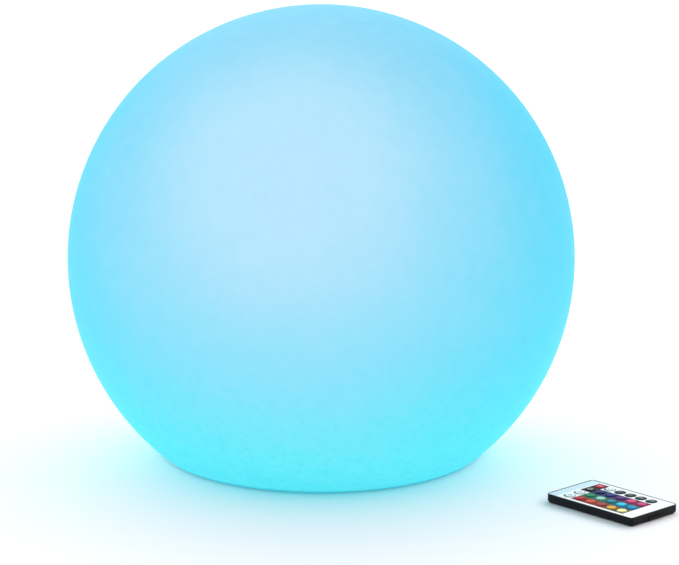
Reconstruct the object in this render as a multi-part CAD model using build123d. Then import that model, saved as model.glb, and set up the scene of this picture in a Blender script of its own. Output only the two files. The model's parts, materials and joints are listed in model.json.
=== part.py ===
from build123d import *
import math
import os

# Floating pool light: a flat-footed glowing globe with its light unit, and its hand remote.
# Millimetres. The origin is the centre of the globe's flat standing face, +Z is up,
# -Y is the front and +X is the right-hand side.

# --- Globe ---------------------------------------------------------------------------------
GLOBE_DIAMETER = 400.0
FOOT_DIAMETER = 252.0
FOOT_EDGE_RADIUS = 10.0
GLOBE_WALL = 3.0
RECESS_DEPTH = 22.0
RECESS_ROOF = 4.0
RECESS_LIP_RADIUS = 2.0

# --- Light unit that closes the globe from below -----------------------------------------
FLANGE_GAP = 4.0
FLANGE_REACH = 18.0
FLANGE_THICKNESS = 5.0
GASKET_THICKNESS = 2.0
CAN_RADIUS = 48.0
CAN_WALL = 3.5
CAN_TOP = 72.0
CAN_THREAD_STEP = 1.6
CAN_THREAD_LENGTH = 9.0
OPENING_GAP = 2.0
PLATE_LEDGE = 1.7
PLATE_THICKNESS = 2.0
COVER_SCREW_COUNT = 6
COVER_SCREW_RADIUS = 1.95
COVER_SCREW_HEAD = 3.8
COVER_SCREW_LENGTH = 16.0

# --- Lens over the lights ------------------------------------------------------------------
LENS_HEIGHT = 24.0
LENS_WALL = 2.0
LENS_FLANGE = 2.5
LENS_GASKET = 1.5
COLLAR_THICKNESS = 2.7
COLLAR_LIP = 2.0
BOARD_THICKNESS = 1.6

# --- Battery and control board -----------------------------------------------------------
CELL_RADIUS = 9.2
CELL_LENGTH = 65.0
CELL_GAP = 1.2
CRADLE_WALL = 3.0
CRADLE_HEIGHT = 12.0
CONTROL_BOARD_Z = 46.0
POST_RADIUS = 3.2
LEAD_RADIUS = 0.8

# --- Power button ----------------------------------------------------------------------------
BUTTON_X = -15.0
BUTTON_Y = -32.5
BUTTON_RADIUS = 6.2
BUTTON_SIDE_GAP = 0.6
BUTTON_TRAVEL = 1.2

# --- Charging socket and its hinged cover -------------------------------------------------
SOCKET_X = 15.0
SOCKET_Y = -32.5
SOCKET_BODY_RADIUS = 5.5
SOCKET_FACE_RADIUS = 7.0
SOCKET_BORE_RADIUS = 2.8
SOCKET_PIN_RADIUS = 1.0
SOCKET_DEPTH = 11.0
NUT_ACROSS_FLATS = 14.0
FLAP_RADIUS = 10.5
FLAP_THICKNESS = 2.5
FLAP_BARREL_RADIUS = 2.0
FLAP_PIN_RADIUS = 1.1
RUNNING_GAP = 0.06

# --- Folding tether bail -----------------------------------------------------------------------
BAIL_WIRE_RADIUS = 1.5
BAIL_HALF_WIDTH = 15.0
BAIL_STRAIGHT = 16.0
BAIL_PIVOT_Y = 8.0
BRACKET_PLATE = 1.6
BRACKET_EAR = 3.0

# --- Hand remote ----------------------------------------------------------------------------------
REMOTE_TAIL = 17.8
REMOTE_SIDE = 9.2
REMOTE_HEIGHT = 7.0
REMOTE_CORNER = 3.2
REMOTE_X = 218.0
REMOTE_Y = -163.0
REMOTE_TURN = -47.0
REMOTE_FLOOR = 0.8
REMOTE_WALL = 2.0
REMOTE_RIM = 0.5
REMOTE_UNDERCUT = 1.5
FACEPLATE_THICKNESS = 0.6
FACEPLATE_DROP = 0.1
FACEPLATE_GAP = 0.1
SENDER_Z = 2.55
KEY_ROWS = 6
KEY_COLUMNS = 4
KEY_ROW_PITCH = 10.4
KEY_COLUMN_PITCH = 11.2
KEY_FIRST_ROW = 16.2
KEY_SHARE = 0.375
KEY_HOLE_GAP = 0.35
KEY_FLANGE = 0.8
KEY_CROWN = 0.7
REMOTE_BOARD_Z = 4.15
REMOTE_BOARD_THICKNESS = 0.8
COIN_RADIUS = 10.0
COIN_THICKNESS = 2.5
TRAY_HALF_WIDTH = 12.0
TRAY_LENGTH = 34.0
TRAY_LOW = 0.9
TRAY_HIGH = 3.8
TRAY_FLOOR = 0.35

# --- Sizes that follow from the ones above ---------------------------------------------------
GLOBE_RADIUS = GLOBE_DIAMETER / 2
FLANGE_RADIUS = CAN_RADIUS + FLANGE_REACH
RECESS_RADIUS = FLANGE_RADIUS + FLANGE_GAP
CENTRE_Z = math.sqrt(GLOBE_RADIUS ** 2 - (FOOT_DIAMETER / 2) ** 2)
OPENING_RADIUS = CAN_RADIUS + OPENING_GAP
FLANGE_TOP = RECESS_DEPTH - GASKET_THICKNESS
FLANGE_LOW = FLANGE_TOP - FLANGE_THICKNESS
SCREW_CIRCLE = (OPENING_RADIUS + FLANGE_RADIUS) / 2 + 1
CAN_INNER = CAN_RADIUS - CAN_WALL
THREAD_RADIUS = CAN_RADIUS - CAN_THREAD_STEP
LENS_RADIUS = THREAD_RADIUS - 6.9
LIGHT_BOARD_RADIUS = LENS_RADIUS - 3.5
CONTROL_BOARD_RADIUS = CAN_INNER - 2.5
POST_CIRCLE = CAN_INNER - 5.5
LEDGE_Z = CAN_TOP - PLATE_THICKNESS
LENS_LOW = CAN_TOP + LENS_GASKET
LENS_FLANGE_TOP = LENS_LOW + LENS_FLANGE
CELL_Y = CELL_RADIUS + CELL_GAP / 2
CELL_Z = FLANGE_TOP + 2.0 + CELL_RADIUS
CRADLE_TOP = FLANGE_TOP + CRADLE_HEIGHT
CONTROL_BOARD_TOP = CONTROL_BOARD_Z + BOARD_THICKNESS
BUTTON_LOW = FLANGE_LOW - 2.8
BEZEL_LOW = FLANGE_LOW - 2.4
SWITCH_TOP = FLANGE_TOP + 11.5
SOCKET_FACE_LOW = FLANGE_LOW - 1.6
SOCKET_BACK = SOCKET_FACE_LOW + 22.5
FLAP_SEAL_TOP = SOCKET_FACE_LOW - 0.1
FLAP_TOP = FLAP_SEAL_TOP - 1.0
FLAP_LOW = FLAP_TOP - FLAP_THICKNESS
FLAP_PIVOT_Y = SOCKET_Y - FLAP_RADIUS - 3.0
FLAP_PIVOT_Z = FLAP_TOP
BAIL_Z = FLANGE_LOW - BRACKET_PLATE - BAIL_WIRE_RADIUS - 0.5
EAR_INNER = BAIL_HALF_WIDTH + BAIL_WIRE_RADIUS + 0.5
REMOTE_LENGTH = KEY_FIRST_ROW + (KEY_ROWS - 1) * KEY_ROW_PITCH + REMOTE_TAIL
REMOTE_WIDTH = 2 * REMOTE_SIDE + (KEY_COLUMNS - 1) * KEY_COLUMN_PITCH
KEY_RADIUS = KEY_SHARE * KEY_ROW_PITCH
FACEPLATE_LOW = REMOTE_HEIGHT - FACEPLATE_DROP - FACEPLATE_THICKNESS
REMOTE_BOARD_TOP = REMOTE_BOARD_Z + REMOTE_BOARD_THICKNESS
KEY_LOW = REMOTE_BOARD_TOP + 0.7
COIN_X = REMOTE_LENGTH / 2 - 19.0


# --- Plain shapes --------------------------------------------------------------------------------
def rod(radius, low, high, x=0.0, y=0.0):
    """Upright cylinder between two heights."""
    return Pos(x, y, (low + high) / 2) * Cylinder(radius, high - low)


def ring(outer, inner, low, high, x=0.0, y=0.0):
    """Upright tube between two heights."""
    return rod(outer, low, high, x, y) - rod(inner, low - 1, high + 1, x, y)


def block(x0, x1, y0, y1, z0, z1):
    """Square-cornered block between two opposite corners."""
    middle = Pos((x0 + x1) / 2, (y0 + y1) / 2, (z0 + z1) / 2)
    return middle * Box(x1 - x0, y1 - y0, z1 - z0)


def cross_rod(radius, x0, x1, y, z):
    """Cylinder lying along X."""
    return Pos((x0 + x1) / 2, y, z) * Rot(0, 90, 0) * Cylinder(radius, x1 - x0)


def around(count, radius, start=0.0):
    """Points spread evenly on a circle."""
    points = []
    for index in range(count):
        angle = math.radians(start + 360.0 * index / count)
        points.append((radius * math.cos(angle), radius * math.sin(angle)))
    return points


def merge(pieces):
    """One node from several separate solids."""
    solids = []
    for piece in pieces:
        solids.extend(piece.solids())
    return Compound(children=solids)


def lead(points, bend=2.0):
    """Round wire through points, with rounded bends."""
    path = FilletPolyline(*points, radius=bend)
    start = Plane(origin=path @ 0, z_dir=path % 0)
    return sweep(start * Circle(LEAD_RADIUS), path=path)


# --- Globe ------------------------------------------------------------------------------------------
def flattened_ball(radius, low, rounding):
    """Solid ball cut flat at a height, with a rounded edge round the flat."""
    foot = math.sqrt(radius ** 2 - (CENTRE_Z - low) ** 2)
    outline = Line((0, low), (foot, low))
    outline += ThreePointArc((foot, low), (radius, CENTRE_Z), (0, CENTRE_Z + radius))
    outline += Line((0, CENTRE_Z + radius), (0, low))
    profile = make_face(outline)
    corner = profile.vertices().sort_by(Axis.X)[-1]
    return revolve(Plane.XZ * fillet(corner, rounding), Axis.Z)


def globe_shell():
    """Hollow globe with a flat foot, a recess in the foot and a hole for the light unit."""
    outside = flattened_ball(GLOBE_RADIUS, 0, FOOT_EDGE_RADIUS)
    outside -= rod(RECESS_RADIUS, -1, RECESS_DEPTH)
    mouth = outside.edges().filter_by(GeomType.CIRCLE)
    mouth = mouth.filter_by(lambda edge: abs(edge.radius - RECESS_RADIUS) < 0.01)
    outside = fillet(mouth.sort_by(Axis.Z)[0], RECESS_LIP_RADIUS)
    inside = flattened_ball(GLOBE_RADIUS - GLOBE_WALL, GLOBE_WALL, FOOT_EDGE_RADIUS - GLOBE_WALL)
    inside -= rod(RECESS_RADIUS + GLOBE_WALL, 0, RECESS_DEPTH + RECESS_ROOF)
    shell = outside - inside
    shell -= rod(OPENING_RADIUS, RECESS_DEPTH - 1, RECESS_DEPTH + RECESS_ROOF + 1)
    boss_top = RECESS_DEPTH + COVER_SCREW_LENGTH
    for x, y in around(COVER_SCREW_COUNT, SCREW_CIRCLE, 30):
        shell += rod(6.0, RECESS_DEPTH + RECESS_ROOF - 1, boss_top, x, y)
        shell -= rod(COVER_SCREW_RADIUS + 0.05, RECESS_DEPTH - 1, boss_top - 2, x, y)
    return shell


# --- Light unit: housing and fasteners ---------------------------------------------------------
def base_cover():
    """Bolted-on flange with the can that carries everything electrical."""
    cover = rod(FLANGE_RADIUS, FLANGE_LOW, FLANGE_TOP)
    cover = fillet(cover.edges().group_by(Axis.Z)[0], 1.2)
    cover += ring(CAN_RADIUS, CAN_INNER, FLANGE_TOP, CAN_TOP)
    cover -= ring(CAN_RADIUS + 5, THREAD_RADIUS, CAN_TOP - CAN_THREAD_LENGTH, CAN_TOP + 1)
    cover += ring(CAN_INNER, CAN_INNER - PLATE_LEDGE, LEDGE_Z - 4, LEDGE_Z)
    cover -= ring(CAN_RADIUS + 3.2, CAN_RADIUS + 2.0, FLANGE_LOW - 1, FLANGE_LOW + 0.7)
    cover += button_surround()
    cover += switch_posts()
    cover += flap_ears()
    for x, y in around(4, POST_CIRCLE):
        cover += rod(POST_RADIUS, FLANGE_TOP, CONTROL_BOARD_Z, x, y)
        cover -= rod(1.25, CONTROL_BOARD_Z - 8, CONTROL_BOARD_Z + 1, x, y)
    for x, y in around(COVER_SCREW_COUNT, SCREW_CIRCLE, 30):
        cover -= rod(COVER_SCREW_RADIUS + 0.25, FLANGE_LOW - 1, FLANGE_TOP + 1, x, y)
        cover -= rod(COVER_SCREW_HEAD + 0.5, FLANGE_LOW - 1, FLANGE_LOW + 2.4, x, y)
    for side in (-1, 1):
        cover -= rod(1.25, FLANGE_LOW - 1, FLANGE_TOP - 1, side * 9.0, BAIL_PIVOT_Y)
    cover -= rod(BUTTON_RADIUS + BUTTON_SIDE_GAP, FLANGE_LOW - 5, FLANGE_TOP + 1, BUTTON_X, BUTTON_Y)
    cover -= rod(SOCKET_BODY_RADIUS + 0.1, FLANGE_LOW - 1, FLANGE_TOP + 1, SOCKET_X, SOCKET_Y)
    return cover


def button_surround():
    """Raised ring that guards the power button."""
    collar = ring(BUTTON_RADIUS + 3.4, BUTTON_RADIUS, BEZEL_LOW, FLANGE_LOW + 1, BUTTON_X, BUTTON_Y)
    rim = collar.edges().group_by(Axis.Z)[0].sort_by(SortBy.RADIUS)[-1]
    return fillet(rim, 0.8)


def switch_posts():
    """Two upright ribs that carry the switch over the button."""
    ribs = []
    for side in (-1, 1):
        middle = BUTTON_X + side * (BUTTON_RADIUS + 2.9)
        ribs.append(block(middle - 0.6, middle + 0.6, BUTTON_Y - 3.5, BUTTON_Y + 4.5, FLANGE_TOP, SWITCH_TOP))
    return ribs[0] + ribs[1]


def flap_ears():
    """Pair of ears that hold the socket cover's hinge pins."""
    ears = []
    for side in (-1, 1):
        low = SOCKET_X + side * 5.4
        high = SOCKET_X + side * 8.4
        ear = block(min(low, high), max(low, high), FLAP_PIVOT_Y - 2.4, FLAP_PIVOT_Y + 2.4,
                    FLAP_PIVOT_Z, FLANGE_LOW + 1)
        ear += cross_rod(2.4, min(low, high), max(low, high), FLAP_PIVOT_Y, FLAP_PIVOT_Z)
        ears.append(ear)
    both = ears[0] + ears[1]
    bore = FLAP_PIN_RADIUS + RUNNING_GAP
    return both - cross_rod(bore, SOCKET_X - 10, SOCKET_X + 10, FLAP_PIVOT_Y, FLAP_PIVOT_Z)


def base_gasket():
    """Flat ring squeezed between the flange and the globe."""
    gasket = ring(FLANGE_RADIUS - 1, OPENING_RADIUS + 1, FLANGE_TOP, RECESS_DEPTH)
    for x, y in around(COVER_SCREW_COUNT, SCREW_CIRCLE, 30):
        gasket -= rod(COVER_SCREW_RADIUS + 0.35, FLANGE_TOP - 1, RECESS_DEPTH + 1, x, y)
    return gasket


def screw(head_radius, head_height, shank_radius, length, face, x, y, up=True):
    """Pan-head screw with a cross recess; the head's underside sits on the face."""
    way = 1 if up else -1
    low_head = min(face, face - way * head_height)
    head = rod(head_radius, low_head, low_head + head_height, x, y)
    outer = head.edges().group_by(Axis.Z)[0 if up else -1]
    head = fillet(outer, head_height * 0.35)
    tip = face + way * length
    shank = rod(shank_radius, min(face, tip), max(face, tip), x, y)
    top = face - way * head_height
    deep = top + way * head_height * 0.55
    slot = head_radius * 0.62
    low, high = min(top - way, deep), max(top - way, deep)
    cross = block(x - slot, x + slot, y - slot * 0.18, y + slot * 0.18, low, high)
    cross += block(x - slot * 0.18, x + slot * 0.18, y - slot, y + slot, low, high)
    return head + shank - cross


def cover_screws():
    """Screws that clamp the flange to the globe."""
    screws = []
    for x, y in around(COVER_SCREW_COUNT, SCREW_CIRCLE, 30):
        screws.append(screw(COVER_SCREW_HEAD, 2.2, COVER_SCREW_RADIUS, COVER_SCREW_LENGTH,
                            FLANGE_LOW + 2.4, x, y))
    return merge(screws)


# --- Light unit: lens, lights and heat plate ---------------------------------------------------
def heat_plate():
    """Metal disc that closes the can and cools the light board."""
    plate = rod(CAN_INNER - 0.2, LEDGE_Z, CAN_TOP)
    for side in (-1, 1):
        plate -= rod(LEAD_RADIUS + 0.9, LEDGE_Z - 1, CAN_TOP + 1, side * 4.0, 31.0)
    return plate


def lens_gasket():
    """Flat ring under the lens flange."""
    return ring(THREAD_RADIUS, LENS_RADIUS + 2, CAN_TOP, LENS_LOW)


def lens_dome():
    """Frosted dome with a clamping flange."""
    ball = (LENS_RADIUS ** 2 + LENS_HEIGHT ** 2) / (2 * LENS_HEIGHT)
    centre = LENS_FLANGE_TOP + LENS_HEIGHT - ball
    outside = Pos(0, 0, centre) * Sphere(ball)
    outside &= block(-60, 60, -60, 60, LENS_LOW, centre + ball + 5)
    outside &= rod(LENS_RADIUS, LENS_LOW, centre + ball + 5)
    outside += rod(THREAD_RADIUS, LENS_LOW, LENS_FLANGE_TOP)
    inside = Pos(0, 0, centre) * Sphere(ball - LENS_WALL)
    inside &= block(-60, 60, -60, 60, LENS_LOW - 5, centre + ball)
    inside &= rod(LENS_RADIUS - LENS_WALL, LENS_LOW - 5, centre + ball)
    return outside - inside


def lens_collar():
    """Screwed collar that clamps the lens, with grip notches round it."""
    inner = THREAD_RADIUS + 0.2
    outer = inner + COLLAR_THICKNESS
    low = CAN_TOP - CAN_THREAD_LENGTH + 1
    collar = ring(outer, inner, low, LENS_FLANGE_TOP)
    collar += ring(outer, LENS_RADIUS + 1, LENS_FLANGE_TOP, LENS_FLANGE_TOP + COLLAR_LIP)
    for x, y in around(12, outer + 1.2):
        collar -= rod(2.2, low - 1, LENS_FLANGE_TOP + COLLAR_LIP + 1, x, y)
    return collar


def light_board():
    """Round board that carries the lights."""
    return rod(LIGHT_BOARD_RADIUS, CAN_TOP, CAN_TOP + BOARD_THICKNESS)


def light_chips():
    """Square colour-changing light chips in two rings."""
    chips = []
    low = CAN_TOP + BOARD_THICKNESS
    for count, radius in ((8, LIGHT_BOARD_RADIUS * 0.78), (4, LIGHT_BOARD_RADIUS * 0.36)):
        for index, (x, y) in enumerate(around(count, radius, 22.5)):
            turn = 22.5 + 360.0 * index / count
            chip = Box(5.0, 5.0, 1.6) - Pos(0, 0, 0.7) * Cylinder(1.9, 0.4)
            chips.append(Pos(x, y, low + 0.8) * Rot(0, 0, turn) * chip)
    return merge(chips)


def remote_receiver():
    """Infrared receiver in the middle of the light board."""
    low = CAN_TOP + BOARD_THICKNESS
    body = block(-3.4, 3.4, -2.6, 2.6, low, low + 5.0)
    eye = Pos(0, 0, low + 4.6) * Sphere(2.3)
    eye &= rod(2.3, low + 4.6, low + 8)
    return body + eye


# --- Light unit: battery and control board ------------------------------------------------------
def battery_cells():
    """Pair of round cells lying side by side."""
    cells = []
    for side in (-1, 1):
        body = cross_rod(CELL_RADIUS, -CELL_LENGTH / 2, CELL_LENGTH / 2 - 1.2, side * CELL_Y, CELL_Z)
        cap = cross_rod(3.2, CELL_LENGTH / 2 - 1.2, CELL_LENGTH / 2, side * CELL_Y, CELL_Z)
        cells.append(body + cap)
    return merge(cells)


def battery_cradle():
    """Tray with a round-bottomed bay for each cell."""
    half_length = CELL_LENGTH / 2 + 0.3 + CRADLE_WALL
    half_width = CELL_Y + CELL_RADIUS + 2.0
    cradle = block(-half_length, half_length, -half_width, half_width, FLANGE_TOP, CRADLE_TOP)
    for side in (-1, 1):
        reach = CELL_LENGTH / 2 + 0.3
        cradle -= cross_rod(CELL_RADIUS + 0.1, -reach, reach, side * CELL_Y, CELL_Z)
        cradle -= block(-reach, reach, side * CELL_Y - CELL_RADIUS - 0.1,
                        side * CELL_Y + CELL_RADIUS + 0.1, CELL_Z, CRADLE_TOP + 1)
    return cradle


def battery_strap():
    """Strap over both cells that keeps them in the cradle."""
    strap = cross_rod(CELL_RADIUS + 1.4, -7, 7, CELL_Y, CELL_Z)
    strap += cross_rod(CELL_RADIUS + 1.4, -7, 7, -CELL_Y, CELL_Z)
    strap += block(-7, 7, -CELL_Y, CELL_Y, CELL_Z, CELL_Z + CELL_RADIUS + 1.4)
    for side in (-1, 1):
        strap -= cross_rod(CELL_RADIUS + 0.1, -8, 8, side * CELL_Y, CELL_Z)
    strap -= block(-8, 8, -40, 40, FLANGE_TOP - 1, CRADLE_TOP)
    return strap


def control_board():
    """Round board on four posts above the cells."""
    board = rod(CONTROL_BOARD_RADIUS, CONTROL_BOARD_Z, CONTROL_BOARD_TOP)
    for x, y in around(4, POST_CIRCLE):
        board -= rod(1.5, CONTROL_BOARD_Z - 1, CONTROL_BOARD_TOP + 1, x, y)
    return board


def control_parts():
    """Chips, coil, capacitors and plug headers on the control board."""
    z = CONTROL_BOARD_TOP
    parts = [block(-12, -4, -4, 4, z, z + 1.4)]
    parts.append(block(7, 17, -6, 4, z, z + 5.0))
    for x in (-21, -11, -1, 9):
        parts.append(block(x, x + 6.5, -22, -16, z, z + 2.3))
    parts.append(rod(4.0, z, z + 10.0, -20, 10))
    parts.append(rod(4.0, z, z + 10.0, -10, 15))
    parts.append(block(6, 16, 12, 18, z, z + 6.5))
    parts.append(block(24, 30, -6, 6, z, z + 6.5))
    return merge(parts)


def board_screws():
    """Screws that hold the control board to its posts."""
    screws = []
    for x, y in around(4, POST_CIRCLE):
        screws.append(screw(2.6, 1.8, 1.2, 8.0, CONTROL_BOARD_TOP, x, y, up=False))
    return merge(screws)


def plus_leads():
    """Positive wires: battery, charging socket and light board."""
    z = CELL_Z + 5.0
    end = CELL_LENGTH / 2 - 1.2
    rise = CELL_LENGTH / 2 + 3.9
    wires = [lead([(end, CELL_Y, z), (rise, CELL_Y, z), (rise, CELL_Y, CONTROL_BOARD_Z)])]
    wires.append(socket_lead(-2.5))
    wires.append(light_lead(-4.0))
    return merge(wires)


def minus_leads():
    """Negative wires: battery, charging socket and light board."""
    z = CELL_Z + 5.0
    end = CELL_LENGTH / 2 - 1.2
    rise = CELL_LENGTH / 2 + 3.9
    wires = [lead([(end, -CELL_Y, z), (rise, -CELL_Y, z), (rise, -CELL_Y, CONTROL_BOARD_Z)])]
    wires.append(socket_lead(2.5))
    wires.append(light_lead(4.0))
    return merge(wires)


def socket_lead(side):
    """Short wire from the back of the socket up to the control board."""
    x = SOCKET_X + side
    rise = (CONTROL_BOARD_Z - SOCKET_BACK) / 3
    points = [(x, SOCKET_Y, SOCKET_BACK), (x, SOCKET_Y, SOCKET_BACK + rise)]
    points += [(x - 2.5, SOCKET_Y, CONTROL_BOARD_Z - rise), (x - 2.5, SOCKET_Y, CONTROL_BOARD_Z)]
    return lead(points, 1.2)


def light_lead(x):
    """Wire from the control board up through the heat plate to the light board."""
    z = CONTROL_BOARD_TOP
    points = [(x, 26.0, z), (x, 26.0, z + 7), (x, 31.0, z + 13), (x, 31.0, CAN_TOP)]
    return lead(points, 3.0)


# --- Underside: button, socket, cover and bail --------------------------------------------------
def power_button():
    """Round push button with a hidden retaining skirt."""
    cap = rod(BUTTON_RADIUS, BUTTON_LOW, FLANGE_TOP + 0.3, BUTTON_X, BUTTON_Y)
    cap = fillet(cap.edges().group_by(Axis.Z)[0], 1.0)
    cap += rod(BUTTON_RADIUS + 1.6, FLANGE_TOP + 0.3, FLANGE_TOP + 1.8, BUTTON_X, BUTTON_Y)
    cap += rod(3.0, FLANGE_TOP + 1.8, FLANGE_TOP + 2.1, BUTTON_X, BUTTON_Y)
    return cap


def power_switch():
    """Push switch on its own little board, over the button."""
    reach = BUTTON_RADIUS + 3.5
    unit = block(BUTTON_X - reach, BUTTON_X + reach, BUTTON_Y - 3.5, BUTTON_Y + 4.5,
                 SWITCH_TOP, SWITCH_TOP + BOARD_THICKNESS)
    unit += block(BUTTON_X - 4.5, BUTTON_X + 4.5, BUTTON_Y - 3.5, BUTTON_Y + 4.5,
                  SWITCH_TOP - 6.5, SWITCH_TOP)
    unit += rod(2.4, FLANGE_TOP + 2.2 + BUTTON_TRAVEL, SWITCH_TOP - 6.5, BUTTON_X, BUTTON_Y)
    return unit


def charge_socket():
    """Round charging socket with a centre pin, let in from outside."""
    socket = rod(SOCKET_FACE_RADIUS, SOCKET_FACE_LOW, FLANGE_LOW, SOCKET_X, SOCKET_Y)
    socket = fillet(socket.edges().group_by(Axis.Z)[0], 0.5)
    socket += rod(SOCKET_BODY_RADIUS, FLANGE_LOW, SOCKET_BACK, SOCKET_X, SOCKET_Y)
    bottom = SOCKET_FACE_LOW + SOCKET_DEPTH
    socket -= rod(SOCKET_BORE_RADIUS, SOCKET_FACE_LOW - 1, bottom, SOCKET_X, SOCKET_Y)
    socket += rod(SOCKET_PIN_RADIUS, SOCKET_FACE_LOW + 1.2, bottom + 1, SOCKET_X, SOCKET_Y)
    return socket


def socket_nut():
    """Six-sided nut that holds the socket from inside."""
    outline = RegularPolygon(NUT_ACROSS_FLATS / 2, 6, major_radius=False)
    outline -= Circle(SOCKET_BODY_RADIUS + 0.05)
    return Pos(SOCKET_X, SOCKET_Y, FLANGE_TOP) * extrude(outline, 2.4)


def socket_cover():
    """Hinged lid over the charging socket, with its pins and a finger tab."""
    lid = rod(FLAP_RADIUS, FLAP_LOW, FLAP_TOP, SOCKET_X, SOCKET_Y)
    lid = fillet(lid.edges().group_by(Axis.Z)[0], 0.9)
    lid += block(SOCKET_X - 5, SOCKET_X + 5, FLAP_PIVOT_Y, SOCKET_Y - 6, FLAP_LOW + 0.5, FLAP_TOP)
    lid += cross_rod(FLAP_BARREL_RADIUS, SOCKET_X - 5, SOCKET_X + 5, FLAP_PIVOT_Y, FLAP_PIVOT_Z)
    lid += cross_rod(FLAP_PIN_RADIUS, SOCKET_X - 8, SOCKET_X + 8, FLAP_PIVOT_Y, FLAP_PIVOT_Z)
    tab_end = SOCKET_Y + FLAP_RADIUS + 2.2
    lid += block(SOCKET_X - 4, SOCKET_X + 4, SOCKET_Y + 6, tab_end, FLAP_TOP - 1.4, FLAP_TOP)
    return lid


def cover_seal():
    """Soft disc in the lid that presses on the socket's face."""
    return rod(SOCKET_FACE_RADIUS - 0.4, FLAP_TOP, FLAP_SEAL_TOP, SOCKET_X, SOCKET_Y)


def tether_bracket():
    """Plate with two drilled ears that hold the bail."""
    reach = EAR_INNER + BRACKET_EAR
    plate_low = FLANGE_LOW - BRACKET_PLATE
    bracket = block(-reach, reach, BAIL_PIVOT_Y - 4.5, BAIL_PIVOT_Y + 4.5, plate_low, FLANGE_LOW)
    for side in (-1, 1):
        low = min(side * EAR_INNER, side * reach)
        high = max(side * EAR_INNER, side * reach)
        bracket += block(low, high, BAIL_PIVOT_Y - 3, BAIL_PIVOT_Y + 3, BAIL_Z, plate_low)
        bracket += cross_rod(3.0, low, high, BAIL_PIVOT_Y, BAIL_Z)
        bracket -= rod(1.4, plate_low - 1, FLANGE_LOW + 1, side * 9.0, BAIL_PIVOT_Y)
    hole = BAIL_WIRE_RADIUS + RUNNING_GAP
    return bracket - cross_rod(hole, -reach - 1, reach + 1, BAIL_PIVOT_Y, BAIL_Z)


def bracket_screws():
    """Screws that hold the bracket to the flange."""
    screws = []
    for side in (-1, 1):
        screws.append(screw(2.6, 1.5, 1.2, 5.0, FLANGE_LOW - BRACKET_PLATE, side * 9.0, BAIL_PIVOT_Y))
    return merge(screws)


def tether_bail():
    """Round-wire loop that folds flat against the flange."""
    w = BAIL_HALF_WIDTH
    y0 = BAIL_PIVOT_Y
    y1 = BAIL_PIVOT_Y + BAIL_STRAIGHT
    right = Line((w, y0), (w, y1))
    bow = ThreePointArc((w, y1), (0, y1 + w), (-w, y1))
    left = Line((-w, y1), (-w, y0))
    path = Pos(0, 0, BAIL_Z) * (right + bow + left)
    start = Plane(origin=(w, y0, BAIL_Z), z_dir=(0, 1, 0))
    bail = sweep(start * Circle(BAIL_WIRE_RADIUS), path=path)
    reach = EAR_INNER + BRACKET_EAR + 0.6
    for side in (-1, 1):
        low = min(side * w, side * reach)
        high = max(side * w, side * reach)
        bail += cross_rod(BAIL_WIRE_RADIUS, low, high, BAIL_PIVOT_Y, BAIL_Z)
        bail += Pos(side * w, y0, BAIL_Z) * Sphere(BAIL_WIRE_RADIUS)
    return bail


# --- Hand remote: X runs along it from the sending end, Y across it ---------------------------
def rounded_slab(length, width, corner, low, high):
    """Flat slab with rounded upright corners."""
    return Pos(0, 0, low) * extrude(RectangleRounded(length, width, corner), high - low)


def key_place(row, column):
    """Middle of one key, counted from the sending end and from the near side."""
    x = KEY_FIRST_ROW - REMOTE_LENGTH / 2 + row * KEY_ROW_PITCH
    y = (column - (KEY_COLUMNS - 1) / 2) * KEY_COLUMN_PITCH
    return x, y


def key_places():
    """All the key middles, row by row."""
    return [key_place(row, column) for row in range(KEY_ROWS) for column in range(KEY_COLUMNS)]


def remote_outside():
    """Outer form of the remote, sloped in round its underside."""
    form = rounded_slab(REMOTE_LENGTH, REMOTE_WIDTH, REMOTE_CORNER, 0, REMOTE_HEIGHT)
    return chamfer(form.edges().group_by(Axis.Z)[0], REMOTE_UNDERCUT)


def remote_case():
    """Thin open-topped case with a battery slot in one end and a sender hole in the other."""
    length = REMOTE_LENGTH
    width = REMOTE_WIDTH
    case = remote_outside()
    case = fillet(case.edges().group_by(Axis.Z)[-1], 0.2)
    case -= rounded_slab(length - 2 * REMOTE_WALL, width - 2 * REMOTE_WALL, 1.5,
                         REMOTE_FLOOR, REMOTE_HEIGHT + 1)
    case -= rounded_slab(length - 2 * REMOTE_RIM, width - 2 * REMOTE_RIM,
                         REMOTE_CORNER - REMOTE_RIM, FACEPLATE_LOW, REMOTE_HEIGHT + 1)
    rib = TRAY_HALF_WIDTH + 0.3
    for side in (-1, 1):
        low = min(side * rib, side * (rib + 1.4))
        high = max(side * rib, side * (rib + 1.4))
        case += block(length / 2 - 36, length / 2 - 1, low, high, 0.4, REMOTE_BOARD_Z)
        case += block(8 - length / 2, 12 - length / 2, low, high, 0.4, REMOTE_BOARD_Z)
    case -= block(length / 2 - 6, length / 2 + 1, -rib + 0.1, rib - 0.1, TRAY_LOW - 0.1, TRAY_HIGH + 0.2)
    return case - cross_rod(1.65, -length / 2 - 1, -length / 2 + 6, 0, SENDER_Z)


def remote_faceplate():
    """Printed top plate with a round hole for every key."""
    step = REMOTE_RIM + FACEPLATE_GAP
    plate = rounded_slab(REMOTE_LENGTH - 2 * step, REMOTE_WIDTH - 2 * step, REMOTE_CORNER - step,
                         FACEPLATE_LOW, FACEPLATE_LOW + FACEPLATE_THICKNESS)
    for x, y in key_places():
        plate -= rod(KEY_RADIUS + KEY_HOLE_GAP, FACEPLATE_LOW - 1, REMOTE_HEIGHT + 1, x, y)
    return plate


def remote_key(x, y):
    """Low round key with a hidden flange."""
    high = REMOTE_HEIGHT - FACEPLATE_DROP + KEY_CROWN
    key = rod(KEY_RADIUS, KEY_LOW, high, x, y)
    key = fillet(key.edges().group_by(Axis.Z)[-1], 0.6)
    return key + rod(KEY_RADIUS + KEY_FLANGE, KEY_LOW, FACEPLATE_LOW - 0.05, x, y)


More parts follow.
